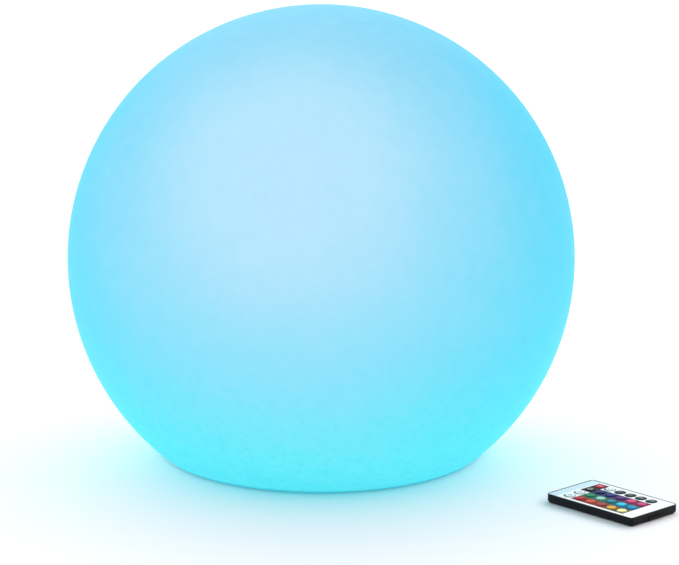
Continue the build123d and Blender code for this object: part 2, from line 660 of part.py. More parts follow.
def remote_board():
    """Thin board under the keys."""
    inset = 2 * (REMOTE_WALL + 0.25)
    return rounded_slab(REMOTE_LENGTH - inset, REMOTE_WIDTH - inset, 1.0, REMOTE_BOARD_Z, REMOTE_BOARD_TOP)


def remote_snap_domes():
    """Snap discs, one under each key."""
    discs = []
    for x, y in key_places():
        discs.append(rod(2.8, REMOTE_BOARD_TOP, REMOTE_BOARD_TOP + 0.3, x, y))
    return merge(discs)


def remote_sender():
    """Infrared sender lamp in the end wall."""
    start = -REMOTE_LENGTH / 2 - 0.3
    lamp = cross_rod(1.5, start, start + 4.2, 0, SENDER_Z)
    lamp += Pos(start, 0, SENDER_Z) * Sphere(1.5)
    low, high = SENDER_Z - 0.25, SENDER_Z + 0.25
    for side in (-1, 1):
        lamp += block(start + 4.2, start + 8.6, side * 0.9 - 0.25, side * 0.9 + 0.25, low, high)
        lamp += block(start + 8.1, start + 8.6, side * 0.9 - 0.25, side * 0.9 + 0.25, low, REMOTE_BOARD_Z)
    return lamp


def remote_contacts():
    """Spring strips over the coin cell."""
    strips = []
    for y in (-4.0, 4.0):
        strips.append(block(COIN_X - 6, COIN_X + 6, y - 1.2, y + 1.2, REMOTE_BOARD_Z - 0.15, REMOTE_BOARD_Z))
    return merge(strips)


def remote_battery_tray():
    """Sliding tray with a round pocket for the coin cell."""
    end = REMOTE_LENGTH / 2
    tray = block(end - TRAY_LENGTH, end, -TRAY_HALF_WIDTH, TRAY_HALF_WIDTH, TRAY_LOW, TRAY_HIGH)
    tray &= remote_outside()
    tray -= rod(COIN_RADIUS + 0.15, TRAY_LOW + TRAY_FLOOR, TRAY_HIGH + 1, COIN_X, 0)
    tray -= rod(5.5, TRAY_LOW - 1, TRAY_HIGH, COIN_X, 0)
    grip = block(end - 0.4, end + 0.7, -7, 7, REMOTE_UNDERCUT + 0.3, TRAY_HIGH - 0.4)
    return tray + grip


def remote_coin_cell():
    """Flat round cell in the tray."""
    low = TRAY_LOW + TRAY_FLOOR
    cell = rod(COIN_RADIUS, low, low + COIN_THICKNESS, COIN_X, 0)
    return chamfer(cell.edges().group_by(Axis.Z)[-1], 0.4)


# --- Every node by name -----------------------------------------------------------------------------
GLOBE_NODES = {
    "globe_shell": globe_shell,
    "base_cover": base_cover,
    "base_gasket": base_gasket,
    "cover_screws": cover_screws,
    "heat_plate": heat_plate,
    "lens_gasket": lens_gasket,
    "lens_dome": lens_dome,
    "lens_collar": lens_collar,
    "light_board": light_board,
    "light_chips": light_chips,
    "remote_receiver": remote_receiver,
    "battery_cells": battery_cells,
    "battery_cradle": battery_cradle,
    "battery_strap": battery_strap,
    "control_board": control_board,
    "control_parts": control_parts,
    "board_screws": board_screws,
    "plus_leads": plus_leads,
    "minus_leads": minus_leads,
    "power_button": power_button,
    "power_switch": power_switch,
    "charge_socket": charge_socket,
    "socket_nut": socket_nut,
    "socket_cover": socket_cover,
    "cover_seal": cover_seal,
    "tether_bracket": tether_bracket,
    "bracket_screws": bracket_screws,
    "tether_bail": tether_bail,
}

REMOTE_NODES = {
    "remote_case": remote_case,
    "remote_faceplate": remote_faceplate,
    "remote_board": remote_board,
    "remote_snap_domes": remote_snap_domes,
    "remote_sender": remote_sender,
    "remote_contacts": remote_contacts,
    "remote_battery_tray": remote_battery_tray,
    "remote_coin_cell": remote_coin_cell,
}


def build_all():
    """Every sub-part in its place, by node name."""
    nodes = {}
    for name, make in GLOBE_NODES.items():
        nodes[name] = make()
    place = Pos(REMOTE_X, REMOTE_Y, 0) * Rot(0, 0, REMOTE_TURN)
    for name, make in REMOTE_NODES.items():
        nodes[name] = place * make()
    for row in range(KEY_ROWS):
        for column in range(KEY_COLUMNS):
            name = f"remote_key_r{row + 1}c{column + 1}"
            nodes[name] = place * remote_key(*key_place(row, column))
    return nodes


os.makedirs("parts", exist_ok=True)
for node_name, solid in build_all().items():
    export_step(solid, os.path.join("parts", node_name + ".step"))
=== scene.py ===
import json
import math

import bmesh
import bpy
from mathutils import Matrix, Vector, noise


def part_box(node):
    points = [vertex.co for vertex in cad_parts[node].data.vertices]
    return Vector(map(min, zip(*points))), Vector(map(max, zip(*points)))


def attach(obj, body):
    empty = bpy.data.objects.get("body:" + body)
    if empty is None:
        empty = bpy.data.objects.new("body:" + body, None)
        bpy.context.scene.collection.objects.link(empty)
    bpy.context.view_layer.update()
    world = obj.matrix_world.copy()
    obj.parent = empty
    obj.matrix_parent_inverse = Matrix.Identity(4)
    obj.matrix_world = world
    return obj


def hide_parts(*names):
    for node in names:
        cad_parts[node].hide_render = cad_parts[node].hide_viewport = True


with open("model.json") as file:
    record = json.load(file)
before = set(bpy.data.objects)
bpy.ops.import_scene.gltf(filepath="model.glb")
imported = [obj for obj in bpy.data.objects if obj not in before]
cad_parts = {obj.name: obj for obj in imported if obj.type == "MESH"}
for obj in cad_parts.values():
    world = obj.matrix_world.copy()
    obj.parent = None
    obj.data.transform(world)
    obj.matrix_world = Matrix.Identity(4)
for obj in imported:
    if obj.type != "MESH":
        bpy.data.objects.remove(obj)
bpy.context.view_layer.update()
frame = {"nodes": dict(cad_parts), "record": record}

NODES = frame["nodes"]
BODIES = frame["record"]["behaviour"]["bodies"]
BODY_OF = {node: body for body, members in BODIES.items() for node in members}
SLOT_OF = {part["node"]: part["material_slot"] for part in frame["record"]["subparts"]}
MM = 0.001
IN_MM = 1000


# ---------------------------------------------------------------- shader tools
class Field:
    """A number that changes over a surface. Python operators on it add the maths."""

    def __init__(self, finish, socket):
        self.finish = finish
        self.socket = socket

    def maths(self, operation, *values, clamp=False):
        settings = {"operation": operation, "use_clamp": clamp}
        return self.finish.field("ShaderNodeMath", settings, dict(enumerate(values)))

    def __add__(self, other):
        return self.maths("ADD", self, other)

    __radd__ = __add__

    def __sub__(self, other):
        return self.maths("SUBTRACT", self, other)

    def __rsub__(self, other):
        return self.maths("SUBTRACT", other, self)

    def __mul__(self, other):
        return self.maths("MULTIPLY", self, other)

    __rmul__ = __mul__

    def __truediv__(self, other):
        return self.maths("DIVIDE", self, other)

    def __pow__(self, other):
        return self.maths("POWER", self, other)

    def __abs__(self):
        return self.maths("ABSOLUTE", self)

    def above(self, level, soft):
        """0 under the level and 1 over it, with an edge of the given softness."""
        return self.maths("MULTIPLY_ADD", self, 1 / soft, 0.5 - level / soft, clamp=True)

    def below(self, level, soft):
        """1 under the level and 0 over it."""
        return self.maths("MULTIPLY_ADD", self, -1 / soft, 0.5 + level / soft, clamp=True)

    def most(self, other):
        return self.maths("MAXIMUM", self, other)

    def hill(self, width):
        """1 where the number is 0, falling smoothly to nothing some widths away."""
        return self.maths("POWER", math.e, self * self * (-1 / (width * width)))


class Finish:
    """One procedural surface finish."""

    def __init__(self, name):
        self.material = bpy.data.materials.new(name)
        self.material.use_nodes = True
        self.tree = self.material.node_tree
        self.tree.nodes.clear()
        self.output = self.tree.nodes.new("ShaderNodeOutputMaterial")
        self.shader = self.tree.nodes.new("ShaderNodeBsdfPrincipled")
        self.tree.links.new(self.shader.outputs["BSDF"], self.output.inputs["Surface"])
        self.place = self.node("ShaderNodeTexCoord").outputs["Object"]

    def plug(self, socket, value):
        """Puts a number, a colour, a field or a link into a socket."""
        if isinstance(value, Field):
            value = value.socket
        if isinstance(value, bpy.types.NodeSocket):
            self.tree.links.new(value, socket)
        elif hasattr(socket.default_value, "__len__") and not hasattr(value, "__len__"):
            socket.default_value = [value] * len(socket.default_value)
        elif hasattr(value, "__len__") and len(value) < len(socket.default_value):
            socket.default_value = [*value, 1.0]
        else:
            socket.default_value = value

    def node(self, kind, settings=None, sockets=None):
        """Any shader node: its settings first, then the values or links of its sockets."""
        made = self.tree.nodes.new(kind)
        for key, value in (settings or {}).items():
            if key == "stops":
                ramp = made.color_ramp.elements
                while len(ramp) < len(value):
                    ramp.new(0.5)
                for stop, (position, colour) in zip(ramp, value):
                    stop.position = position
                    stop.color = [*colour, 1.0]
            else:
                setattr(made, key, value)
        for key, value in (sockets or {}).items():
            self.plug(made.inputs[key], value)
        return made

    def field(self, kind, settings=None, sockets=None, result=0):
        """A node's result as a field."""
        return Field(self, self.node(kind, settings, sockets).outputs[result])

    def axes(self):
        """The three coordinates of a point as fields."""
        parts = self.node("ShaderNodeSeparateXYZ", None, {0: self.place})
        return [Field(self, parts.outputs[index]) for index in range(3)]

    def noise(self, size, detail=2.0, rough=0.5, vector=None):
        """Cloudy noise whose lumps are about the given size in metres."""
        sockets = {"Vector": vector or self.place, "Scale": 1 / size, "Detail": detail, "Roughness": rough}
        return self.field("ShaderNodeTexNoise", None, sockets)

    def stretched(self, x, y, z):
        """Place on the object, scaled along each axis."""
        settings = {"operation": "MULTIPLY"}
        return self.node("ShaderNodeVectorMath", settings, {0: self.place, 1: (x, y, z)}).outputs[0]

    def mix(self, amount, first, second):
        """One colour over another, by an amount that may vary."""
        settings = {"data_type": "RGBA", "clamp_factor": True}
        mixed = self.node("ShaderNodeMix", settings, {0: amount, 6: first, 7: second})
        return mixed.outputs[2]

    def ramp(self, amount, stops):
        """Colour picked along a row of stops."""
        return self.node("ShaderNodeValToRGB", {"stops": stops}, {0: amount}).outputs[0]

    def bump(self, height, strength, distance):
        """Surface direction over bumps of a varying height."""
        sockets = {"Height": height, "Strength": strength, "Distance": distance}
        return self.node("ShaderNodeBump", None, sockets).outputs[0]

    def set(self, **values):
        """Sets the shader's own sockets: Base_Color for Base Color, and so on."""
        for key, value in values.items():
            self.plug(self.shader.inputs[key.replace("_", " ")], value)


# ---------------------------------------------------------------- mesh tools
ON_AXIS = 1e-7


def add_piece(name, mesh, body, slot, *replaced):
    """Smooth-shaded piece that rides a body and stands for the CAD nodes it replaces."""
    piece = bpy.data.objects.new(name, mesh)
    bpy.context.scene.collection.objects.link(piece)
    for polygon in mesh.polygons:
        polygon.use_smooth = True
    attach(piece, body)
    if replaced:
        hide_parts(*replaced)
    return piece


def dress(node, material):
    """Gives a CAD node its finish."""
    for place in NODES[node].material_slots:
        place.material = material


def turn_mesh(name, outline, segments, centre=(0.0, 0.0), ripple=None):
    """Turns an outline of (radius, height) points, in metres, round an upright line."""
    shape = bmesh.new()
    rings = []
    for radius, height in outline:
        if radius < ON_AXIS:
            rings.append([shape.verts.new((centre[0], centre[1], height))])
            continue
        ring = []
        for step in range(segments):
            angle = math.tau * step / segments
            ring.append(shape.verts.new((centre[0] + radius * math.cos(angle),
                                         centre[1] + radius * math.sin(angle), height)))
        rings.append(ring)
    for low, high in zip(rings, rings[1:]):
        for step in range(segments):
            after = (step + 1) % segments
            if len(low) == 1 and len(high) == 1:
                continue
            if len(low) == 1:
                shape.faces.new((low[0], high[after], high[step]))
            elif len(high) == 1:
                shape.faces.new((low[step], low[after], high[0]))
            else:
                shape.faces.new((low[step], low[after], high[after], high[step]))
    if ripple:
        for vertex in shape.verts:
            vertex.co += ripple(vertex.co)
    bmesh.ops.recalc_face_normals(shape, faces=shape.faces)
    mesh = bpy.data.meshes.new(name)
    shape.to_mesh(mesh)
    shape.free()
    return mesh


def arc(centre, radius, start, end, steps):
    """Points on part of a circle, in degrees from the radius axis."""
    points = []
    for step in range(steps + 1):
        angle = math.radians(start + (end - start) * step / steps)
        points.append((centre[0] + radius * math.cos(angle), centre[1] + radius * math.sin(angle)))
    return points


# ---------------------------------------------------------------- globe
low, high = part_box("globe_shell")
GLOBE_R = (high.x - low.x) / 2
GLOBE_Z = high.z - GLOBE_R
WALL = 3 * MM
FOOT_EDGE = 10 * MM
RECESS_R = 70 * MM
RECESS_TOP = 22 * MM
RECESS_LIP = 2 * MM
ROOF_THICKNESS = 4 * MM
OPENING_R = 50 * MM
CORNER = 1 * MM
CALM_ABOVE_FOOT = 2 * MM
CALM_ROUND_RECESS = 8 * MM
CALM_HEIGHT = 40 * MM
RIPPLE_FADE = 0.05

# Colours of the lit wall from the foot (0) to the crown (1).
WALL_COLOURS = [
    (0.110, (0.081, 0.700, 0.800)),
    (0.190, (0.086, 0.750, 0.840)),
    (0.275, (0.090, 0.708, 0.836)),
    (0.425, (0.081, 0.620, 0.813)),
    (0.625, (0.067, 0.559, 0.780)),
    (0.825, (0.031, 0.509, 0.754)),
    (1.000, (0.055, 0.421, 0.644)),
]
# Painted highlight: a pale patch painted into the glow, on the side facing the camera and up to the left.
# Which way it faces, then the width and the strength of its wide part and of its core.
HIGHLIGHT_X, HIGHLIGHT_Y, HIGHLIGHT_Z = -0.120, -0.850, 0.514
HIGHLIGHT_COLOUR = (0.451, 0.687, 0.848)
HIGHLIGHT_WIDTH, HIGHLIGHT_STRENGTH = 0.434, 0.640
HIGHLIGHT_CORE_WIDTH, HIGHLIGHT_CORE_STRENGTH = 0.129, 0.360
SPECK_COLOUR = (0.045, 0.55, 0.70)
# Colour of the painted shade along the foot where it meets the floor.
FOOT_PAINTED_SHADE = (0.035, 0.38, 0.46)


def foot_outline(radius, level, rounding, steps):
    """Flat foot's rounded edge and the ball above it, from the foot up to the crown."""
    drop = GLOBE_Z - level
    reach = math.sqrt((radius - rounding) ** 2 - (drop - rounding) ** 2)
    meet = math.degrees(math.atan2(rounding - drop, reach))
    points = arc((reach, level + rounding), rounding, -90, meet, 12)
    points += arc((0, GLOBE_Z), radius, meet, 90, steps)[1:]
    points[-1] = (0.0, GLOBE_Z + radius)
    return points


def globe_outline():
    """The hollow wall's section: outside, recess with its opening, and inside."""
    outer = list(reversed(foot_outline(GLOBE_R, 0.0, FOOT_EDGE, 120)))
    lip = arc((RECESS_R + RECESS_LIP, RECESS_LIP), RECESS_LIP, 270, 180, 6)
    roof_top = RECESS_TOP + ROOF_THICKNESS
    roof = [(RECESS_R, RECESS_TOP - CORNER), (RECESS_R - CORNER, RECESS_TOP), (OPENING_R, RECESS_TOP),
            (OPENING_R, roof_top), (RECESS_R + WALL, roof_top), (RECESS_R + WALL, WALL)]
    return outer + lip + roof + foot_outline(GLOBE_R - WALL, WALL, FOOT_EDGE - WALL, 60)


def globe_ripple(place):
    """Very slight unevenness of a moulded wall, left out of the foot and its recess."""
    lift = place.z - FOOT_EDGE - CALM_ABOVE_FOOT
    by_recess = Vector((place.x, place.y)).length < RECESS_R + CALM_ROUND_RECESS
    if lift < 0 or by_recess and place.z < CALM_HEIGHT:
        return Vector()
    out = (place - Vector((0, 0, GLOBE_Z))).normalized()
    wave = noise.noise(place * 14.0) * 0.16 + noise.noise(place * 38.0) * 0.05
    return out * wave * MM * min(1.0, lift / RIPPLE_FADE)


def globe_finish():
    """Milky wall lit from inside, with a painted highlight patch, cloudy drift, specks low down and painted
    shade along the foot.
    """
    finish = Finish("globe polyethylene lit from inside")
    x, y, z = finish.axes()
    up = (z - GLOBE_Z) / GLOBE_R
    clouds = finish.noise(0.055, 3.0, 0.55)
    mottle = finish.noise(0.012, 3.0, 0.6)
    grain = finish.noise(0.0016, 2.0, 0.6)
    height = (up + 1) * 0.5 + (clouds - 0.5) * 0.04
    body = finish.ramp(height, WALL_COLOURS)
    # Painted highlight: a broad pale patch with a brighter core, facing the camera and up to the left.
    toward_highlight = (x * HIGHLIGHT_X + y * HIGHLIGHT_Y) / GLOBE_R + up * HIGHLIGHT_Z
    near_highlight = (1 - toward_highlight).most(0)
    painted_highlight_and_mottle = near_highlight.hill(HIGHLIGHT_WIDTH) * HIGHLIGHT_STRENGTH + near_highlight.hill(HIGHLIGHT_CORE_WIDTH) * HIGHLIGHT_CORE_STRENGTH
    painted_highlight_and_mottle = painted_highlight_and_mottle + (clouds - 0.5) * 0.12 + (mottle - 0.5) * 0.14 + (grain - 0.5) * 0.05
    # The painted highlight is mixed into the glow here.
    glow_with_painted_light = finish.mix(painted_highlight_and_mottle.most(0), body, HIGHLIGHT_COLOUR)
    low_part = height.below(0.30, 0.30)
    specks = finish.noise(0.0055, 2.0, 0.55).above(0.58, 0.14) * (low_part * 0.18 + 0.03)
    glow_with_painted_light = finish.mix(specks, glow_with_painted_light, SPECK_COLOUR)
    # Painted shade: a darker band along the bottom of the foot, where it meets the floor.
    foot_shade_band = z.below(0.0022, 0.0030)
    glow_with_painted_light = finish.mix(foot_shade_band * 0.75, glow_with_painted_light, FOOT_PAINTED_SHADE)
    finish.set(
        Base_Color=finish.mix(mottle, (0.04, 0.13, 0.16), (0.05, 0.15, 0.18)),
        Roughness=0.52 + (grain - 0.5) * 0.16,
        Specular_IOR_Level=0.02,
        Emission_Color=glow_with_painted_light,
        Emission_Strength=1.0,
        Normal=finish.bump(grain * 0.6 + mottle, 0.25, 0.0004),
    )
    return finish.material


globe_skin = add_piece("globe_skin", turn_mesh("globe_skin", globe_outline(), 256, ripple=globe_ripple),
                       "globe", "globe_polyethylene", "globe_shell")
globe_skin.data.materials.append(globe_finish())


# ---------------------------------------------------------------- plain finishes for the hard parts
COLOUR_DRIFT = 0.08


def moulded(name, colour, rough, grain=0.0007, depth=0.00006, coat=0.0, shine=0.5):
    """Moulded plastic: fine spark-eroded grain, faint colour drift and flow marks."""
    finish = Finish(name)
    fine = finish.noise(grain, 2.0, 0.55)
    drift = finish.noise(0.018, 2.0, 0.5)
    dark = [value * (1 - COLOUR_DRIFT) for value in colour]
    light = [min(1.0, value * (1 + COLOUR_DRIFT)) for value in colour]
    finish.set(Base_Color=finish.mix(drift * 0.7 + fine * 0.3, dark, light),
               Roughness=rough + (fine - 0.5) * 0.18 + (drift - 0.5) * 0.10,
               Specular_IOR_Level=shine,
               Coat_Weight=coat,
               Normal=finish.bump(fine, 0.5, depth))
    return finish.material


def soft_rubber(name, colour):
    """Silicone: matt, slightly dusty, with a skin-like micro grain."""
    finish = Finish(name)
    fine = finish.noise(0.0005, 3.0, 0.6)
    dust = finish.noise(0.006, 4.0, 0.6)
    light = [value * 0.8 + 0.10 for value in colour]
    finish.set(Base_Color=finish.mix(dust.above(0.55, 0.3) * 0.35, colour, light),
               Roughness=0.72 + (dust - 0.5) * 0.2,
               Sheen_Weight=0.12,
               Normal=finish.bump(fine, 0.4, 0.00004))
    return finish.material


def metal(name, colour, rough, along=(1.0, 1.0, 14.0), scratch=0.0012):
    """Bare metal with fine drawn marks and small stains."""
    finish = Finish(name)
    marks = finish.noise(scratch, 3.0, 0.65, finish.stretched(*along))
    stain = finish.noise(0.008, 3.0, 0.5)
    dark = [value * 0.82 for value in colour]
    finish.set(Base_Color=finish.mix(stain.above(0.5, 0.5) * 0.5 + marks * 0.3, colour, dark),
               Metallic=1.0,
               Roughness=rough + (marks - 0.5) * 0.22 + (stain - 0.5) * 0.08,
               Normal=finish.bump(marks, 0.25, 0.00003))
    return finish.material


def board_resist(name, colour, track):
    """Circuit board resist with faint tracks under it."""
    finish = Finish(name)
    grid = finish.node("ShaderNodeTexVoronoi", {"feature": "DISTANCE_TO_EDGE"},
                       {"Vector": finish.place, "Scale": 170.0})
    tracks = Field(finish, grid.outputs["Distance"]).below(0.06, 0.03)
    finish.set(Base_Color=finish.mix(tracks * 0.6, colour, track),
               Roughness=0.32 + tracks * 0.08,
               Coat_Weight=0.3,
               Normal=finish.bump(tracks, 0.3, 0.00003))
    return finish.material


def frosted(name):
    """Frosted clear plastic of the lens."""
    finish = Finish(name)
    fine = finish.noise(0.0009, 2.0, 0.6)
    finish.set(Base_Color=finish.mix(fine, (0.84, 0.90, 0.93), (0.93, 0.97, 1.0)),
               Roughness=0.38 + fine * 0.15,
               Alpha=0.62 + (fine - 0.5) * 0.1,
               Normal=finish.bump(fine, 0.4, 0.00005))
    return finish.material


def lit_chip(name):
    """Light chip: white case with a bright round window."""
    finish = Finish(name)
    cells = finish.noise(0.0008, 1.0, 0.5)
    finish.set(Base_Color=finish.mix(cells, (0.90, 0.88, 0.72), (0.96, 0.95, 0.88)),
               Roughness=0.35 + cells * 0.1,
               Emission_Color=finish.mix(cells, (0.35, 0.9, 1.0), (0.7, 0.97, 1.0)),
               Emission_Strength=2.0)
    return finish.material


def sleeve(name, colour):
    """Shrink sleeve with long fine pulls."""
    finish = Finish(name)
    pulls = finish.noise(0.002, 2.0, 0.6, finish.stretched(0.15, 1.0, 1.0))
    dark = [value * 0.7 for value in colour]
    finish.set(Base_Color=finish.mix(pulls, dark, colour),
               Roughness=0.25 + pulls * 0.15,
               Normal=finish.bump(pulls, 0.3, 0.0001))
    return finish.material


def webbing(name, colour):
    """Woven strap."""
    finish = Finish(name)
    wave = finish.node("ShaderNodeTexWave", {"bands_direction": "DIAGONAL"},
                       {"Vector": finish.place, "Scale": 420.0, "Distortion": 0.6})
    rib = Field(finish, wave.outputs["Fac"])
    light = [value + 0.06 for value in colour]
    finish.set(Base_Color=finish.mix(rib, colour, light), Roughness=0.8 + rib * 0.1,
               Normal=finish.bump(rib, 0.6, 0.0002))
    return finish.material


FINISHES = {
    "base_plastic": moulded("white base plastic", (0.80, 0.83, 0.85), 0.48, 0.0009, 0.00008),
    "silicone_grey": soft_rubber("grey silicone", (0.30, 0.33, 0.35)),
    "button_silicone": soft_rubber("black silicone", (0.035, 0.038, 0.042)),
    "stainless_screws": metal("bright stainless", (0.66, 0.66, 0.65), 0.24),
    "stainless_tether": metal("drawn stainless wire", (0.60, 0.61, 0.61), 0.30, (14.0, 1.0, 14.0)),
    "lens_frosted": frosted("frosted lens"),
    "collar_plastic": moulded("black collar plastic", (0.035, 0.037, 0.04), 0.42),
    "heat_metal": metal("turned aluminium", (0.78, 0.79, 0.81), 0.32, (1.0, 1.0, 1.0), 0.0006),
    "board_white": board_resist("white board resist", (0.80, 0.82, 0.80), (0.62, 0.66, 0.62)),
    "light_chip": lit_chip("lit light chips"),
    "receiver_black": moulded("dark receiver plastic", (0.02, 0.012, 0.02), 0.15, 0.001, 0.00001, 0.4),
    "cell_wrap": sleeve("blue shrink sleeve", (0.04, 0.20, 0.52)),
    "strap_fabric": webbing("black webbing", (0.03, 0.03, 0.035)),
    "board_green": board_resist("green board resist", (0.012, 0.16, 0.06), (0.03, 0.28, 0.10)),
    "parts_dark": moulded("dark chip cases", (0.04, 0.04, 0.045), 0.5),
    "lead_red": soft_rubber("red lead", (0.55, 0.02, 0.015)),
    "lead_black": soft_rubber("black lead", (0.02, 0.02, 0.02)),
    "socket_black": moulded("black socket plastic", (0.03, 0.03, 0.034), 0.30, 0.0006, 0.00003),
    "nut_metal": metal("nickel plated nut", (0.68, 0.67, 0.62), 0.22),
    "flap_plastic": moulded("pale grey lid plastic", (0.58, 0.61, 0.64), 0.45),
    "remote_black": moulded("satin black case", (0.006, 0.006, 0.007), 0.46, 0.0006, 0.00008, shine=0.16),
    "snap_metal": metal("spring metal", (0.72, 0.71, 0.68), 0.20),
    "sender_clear": moulded("clear lamp resin", (0.62, 0.68, 0.80), 0.10, 0.002, 0.00001, 0.5),
}
for node, slot in SLOT_OF.items():
    if slot in FINISHES:
        dress(node, FINISHES[slot])


# ---------------------------------------------------------------- hand remote
ROWS, COLUMNS = 6, 4
KEY_AT = {}
for row in range(ROWS):
    for column in range(COLUMNS):
        low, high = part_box(f"remote_key_r{row + 1}c{column + 1}")
        KEY_AT[row, column] = (low + high) / 2
ALONG = (KEY_AT[5, 0] - KEY_AT[0, 0]).normalized()
ACROSS = (KEY_AT[0, 3] - KEY_AT[0, 0]).normalized()
ROW_PITCH = (KEY_AT[5, 0] - KEY_AT[0, 0]).length / (ROWS - 1)
COLUMN_PITCH = (KEY_AT[0, 3] - KEY_AT[0, 0]).length / (COLUMNS - 1)
KEY_RADIUS = 3.9
INK_SOFTNESS = 0.25
plate = NODES["remote_faceplate"]
corners = [plate.matrix_world @ vertex.co - KEY_AT[0, 0] for vertex in plate.data.vertices]
PLATE_ENDS = [pick(corner.dot(ALONG) for corner in corners) * IN_MM for pick in (min, max)]
PLATE_SIDES = [pick(corner.dot(ACROSS) for corner in corners) * IN_MM for pick in (min, max)]


def remote_axes(finish, origin):
    """Distances along and across the remote from a point, in millimetres."""
    results = []
    for axis in (ALONG, ACROSS):
        dot = finish.field("ShaderNodeVectorMath", {"operation": "DOT_PRODUCT"},
                           {0: finish.place, 1: axis}, result="Value")
        results.append((dot - origin.dot(axis)) * IN_MM)
    return results


def patch(u, v, u0, u1, v0, v1):
    """Rectangle printed on the plate."""
    along = u.above(u0, INK_SOFTNESS) * u.below(u1, INK_SOFTNESS)
    return along * v.above(v0, INK_SOFTNESS) * v.below(v1, INK_SOFTNESS)


def spot(u, v, u0, v0, radius):
    """Round dot printed on the plate or a key."""
    du = u - u0
    dv = v - v0
    return ((du * du + dv * dv) ** 0.5).below(radius, INK_SOFTNESS)


COIN_GROOVE_IN = 1.3
STAMP_REACH = 2.6
STAMP_HALF_WIDTH = 0.4
STAMP_SOFTNESS = 0.1


def coin_finish():
    """Steel cell with a turned face, a groove inside its rim and a stamped plus."""
    low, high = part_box("remote_coin_cell")
    groove = (high.x - low.x) / 2 * IN_MM - COIN_GROOVE_IN
    finish = Finish("bright coin steel")
    u, v = remote_axes(finish, (low + high) / 2)
    reach = (u * u + v * v) ** 0.5
    stain = finish.noise(0.006, 3.0, 0.5)
    turned = reach.maths("SINE", reach * 12.0) * 0.5 + 0.5
    stamp = abs(reach - groove).below(0.12, STAMP_SOFTNESS)
    for one, other in ((u, v), (v, u)):
        arm = abs(one).below(STAMP_REACH, STAMP_SOFTNESS) * abs(other).below(STAMP_HALF_WIDTH, STAMP_SOFTNESS)
        stamp = stamp.most(arm)
    wear = stain.above(0.5, 0.5) * 0.5 + turned * 0.3
    steel = finish.mix(wear, (0.72, 0.72, 0.71), (0.50, 0.50, 0.50))
    finish.set(Base_Color=finish.mix(stamp * 0.85, steel, (0.05, 0.05, 0.05)),
               Metallic=1.0,
               Roughness=0.20 + turned * 0.10 + stamp * 0.3,
               Normal=finish.bump(turned * 0.2 - stamp, 0.5, 0.00005))
    return finish.material


dress("remote_coin_cell", coin_finish())

# The print on the remote's face, in millimetres from the middle of the first key.
WINDOW_EDGE = -6.6
WINDOW_LINES = (2.4, 5.6)
BLOCK_MARGIN = 5.2
INK_OVERLAP = 0.2
RING_RADIUS = 4.75
RING_SHIFT = 0.25
NEAR_BORDER = 0.55
FAR_BORDER = 0.75
RINGED_KEYS = [(0, 0), (0, 1), (1, 3), (2, 3), (3, 3), (4, 3), (5, 3), (4, 0), (5, 0)]


def plate_print():
    """White face with a pale window, blocks of colour under the keys and dark rings."""
    finish = Finish("printed remote face")
    u, v = remote_axes(finish, KEY_AT[0, 0])
    row = ROW_PITCH * IN_MM
    column = COLUMN_PITCH * IN_MM
    fine = finish.noise(0.0006, 2.0, 0.5)
    haze = finish.noise(0.02, 2.0, 0.5)
    colour = finish.mix(haze, (0.88, 0.90, 0.92), (0.94, 0.95, 0.96))
    window = u.below(WINDOW_EDGE, 0.5)
    colour = finish.mix(window * 0.85, colour, (0.60, 0.74, 0.81))
    near_line, far_line = [abs(u - WINDOW_EDGE + inset).below(0.16, 0.2) for inset in WINDOW_LINES]
    lines = near_line.most(far_line)
    colour = finish.mix(lines * 0.35, colour, (0.30, 0.38, 0.44))
    top, bottom = row - BLOCK_MARGIN, (ROWS - 1) * row + BLOCK_MARGIN
    upper, lower = 2.4 * row, 3.5 * row
    left, first, second, third = -BLOCK_MARGIN, 0.5 * column, 1.5 * column, 2.5 * column
    right = (COLUMNS - 1) * column + BLOCK_MARGIN
    blocks = [
        (top, lower, left, first, (0.27, 0.022, 0.014)),
        (lower, bottom, left, first, (0.16, 0.085, 0.016)),
        (top, lower, first, second, (0.008, 0.105, 0.070)),
        (lower, bottom, first, second, (0.008, 0.110, 0.190)),
        (top, upper, second, third, (0.008, 0.014, 0.110)),
        (upper, lower, second, third, (0.050, 0.010, 0.100)),
        (lower, bottom, second, third, (0.150, 0.008, 0.050)),
        (-BLOCK_MARGIN, BLOCK_MARGIN, second, right, (0.008, 0.008, 0.010)),
    ]
    for u0, u1, v0, v1, ink in blocks:
        area = patch(u, v, u0 - INK_OVERLAP, u1, v0 - INK_OVERLAP, v1)
        colour = finish.mix(area, colour, ink)
    for at_row, at_column in RINGED_KEYS:
        ring = spot(u, v, at_row * row - RING_SHIFT, at_column * column - RING_SHIFT, RING_RADIUS)
        colour = finish.mix(ring * 0.92, colour, (0.03, 0.035, 0.04))
    ends = u.below(PLATE_ENDS[0] + FAR_BORDER, 0.3).most(u.above(PLATE_ENDS[1] - NEAR_BORDER, 0.3))
    sides = v.below(PLATE_SIDES[0] + NEAR_BORDER, 0.3).most(v.above(PLATE_SIDES[1] - FAR_BORDER, 0.3))
    colour = finish.mix(ends.most(sides) * 0.85, colour, (0.02, 0.022, 0.025))
    finish.set(Base_Color=colour,
               Roughness=0.38 + (fine - 0.5) * 0.10,
               Specular_IOR_Level=0.012,
               Normal=finish.bump(fine, 0.15, 0.00002))
    return finish.material


dress("remote_faceplate", plate_print())

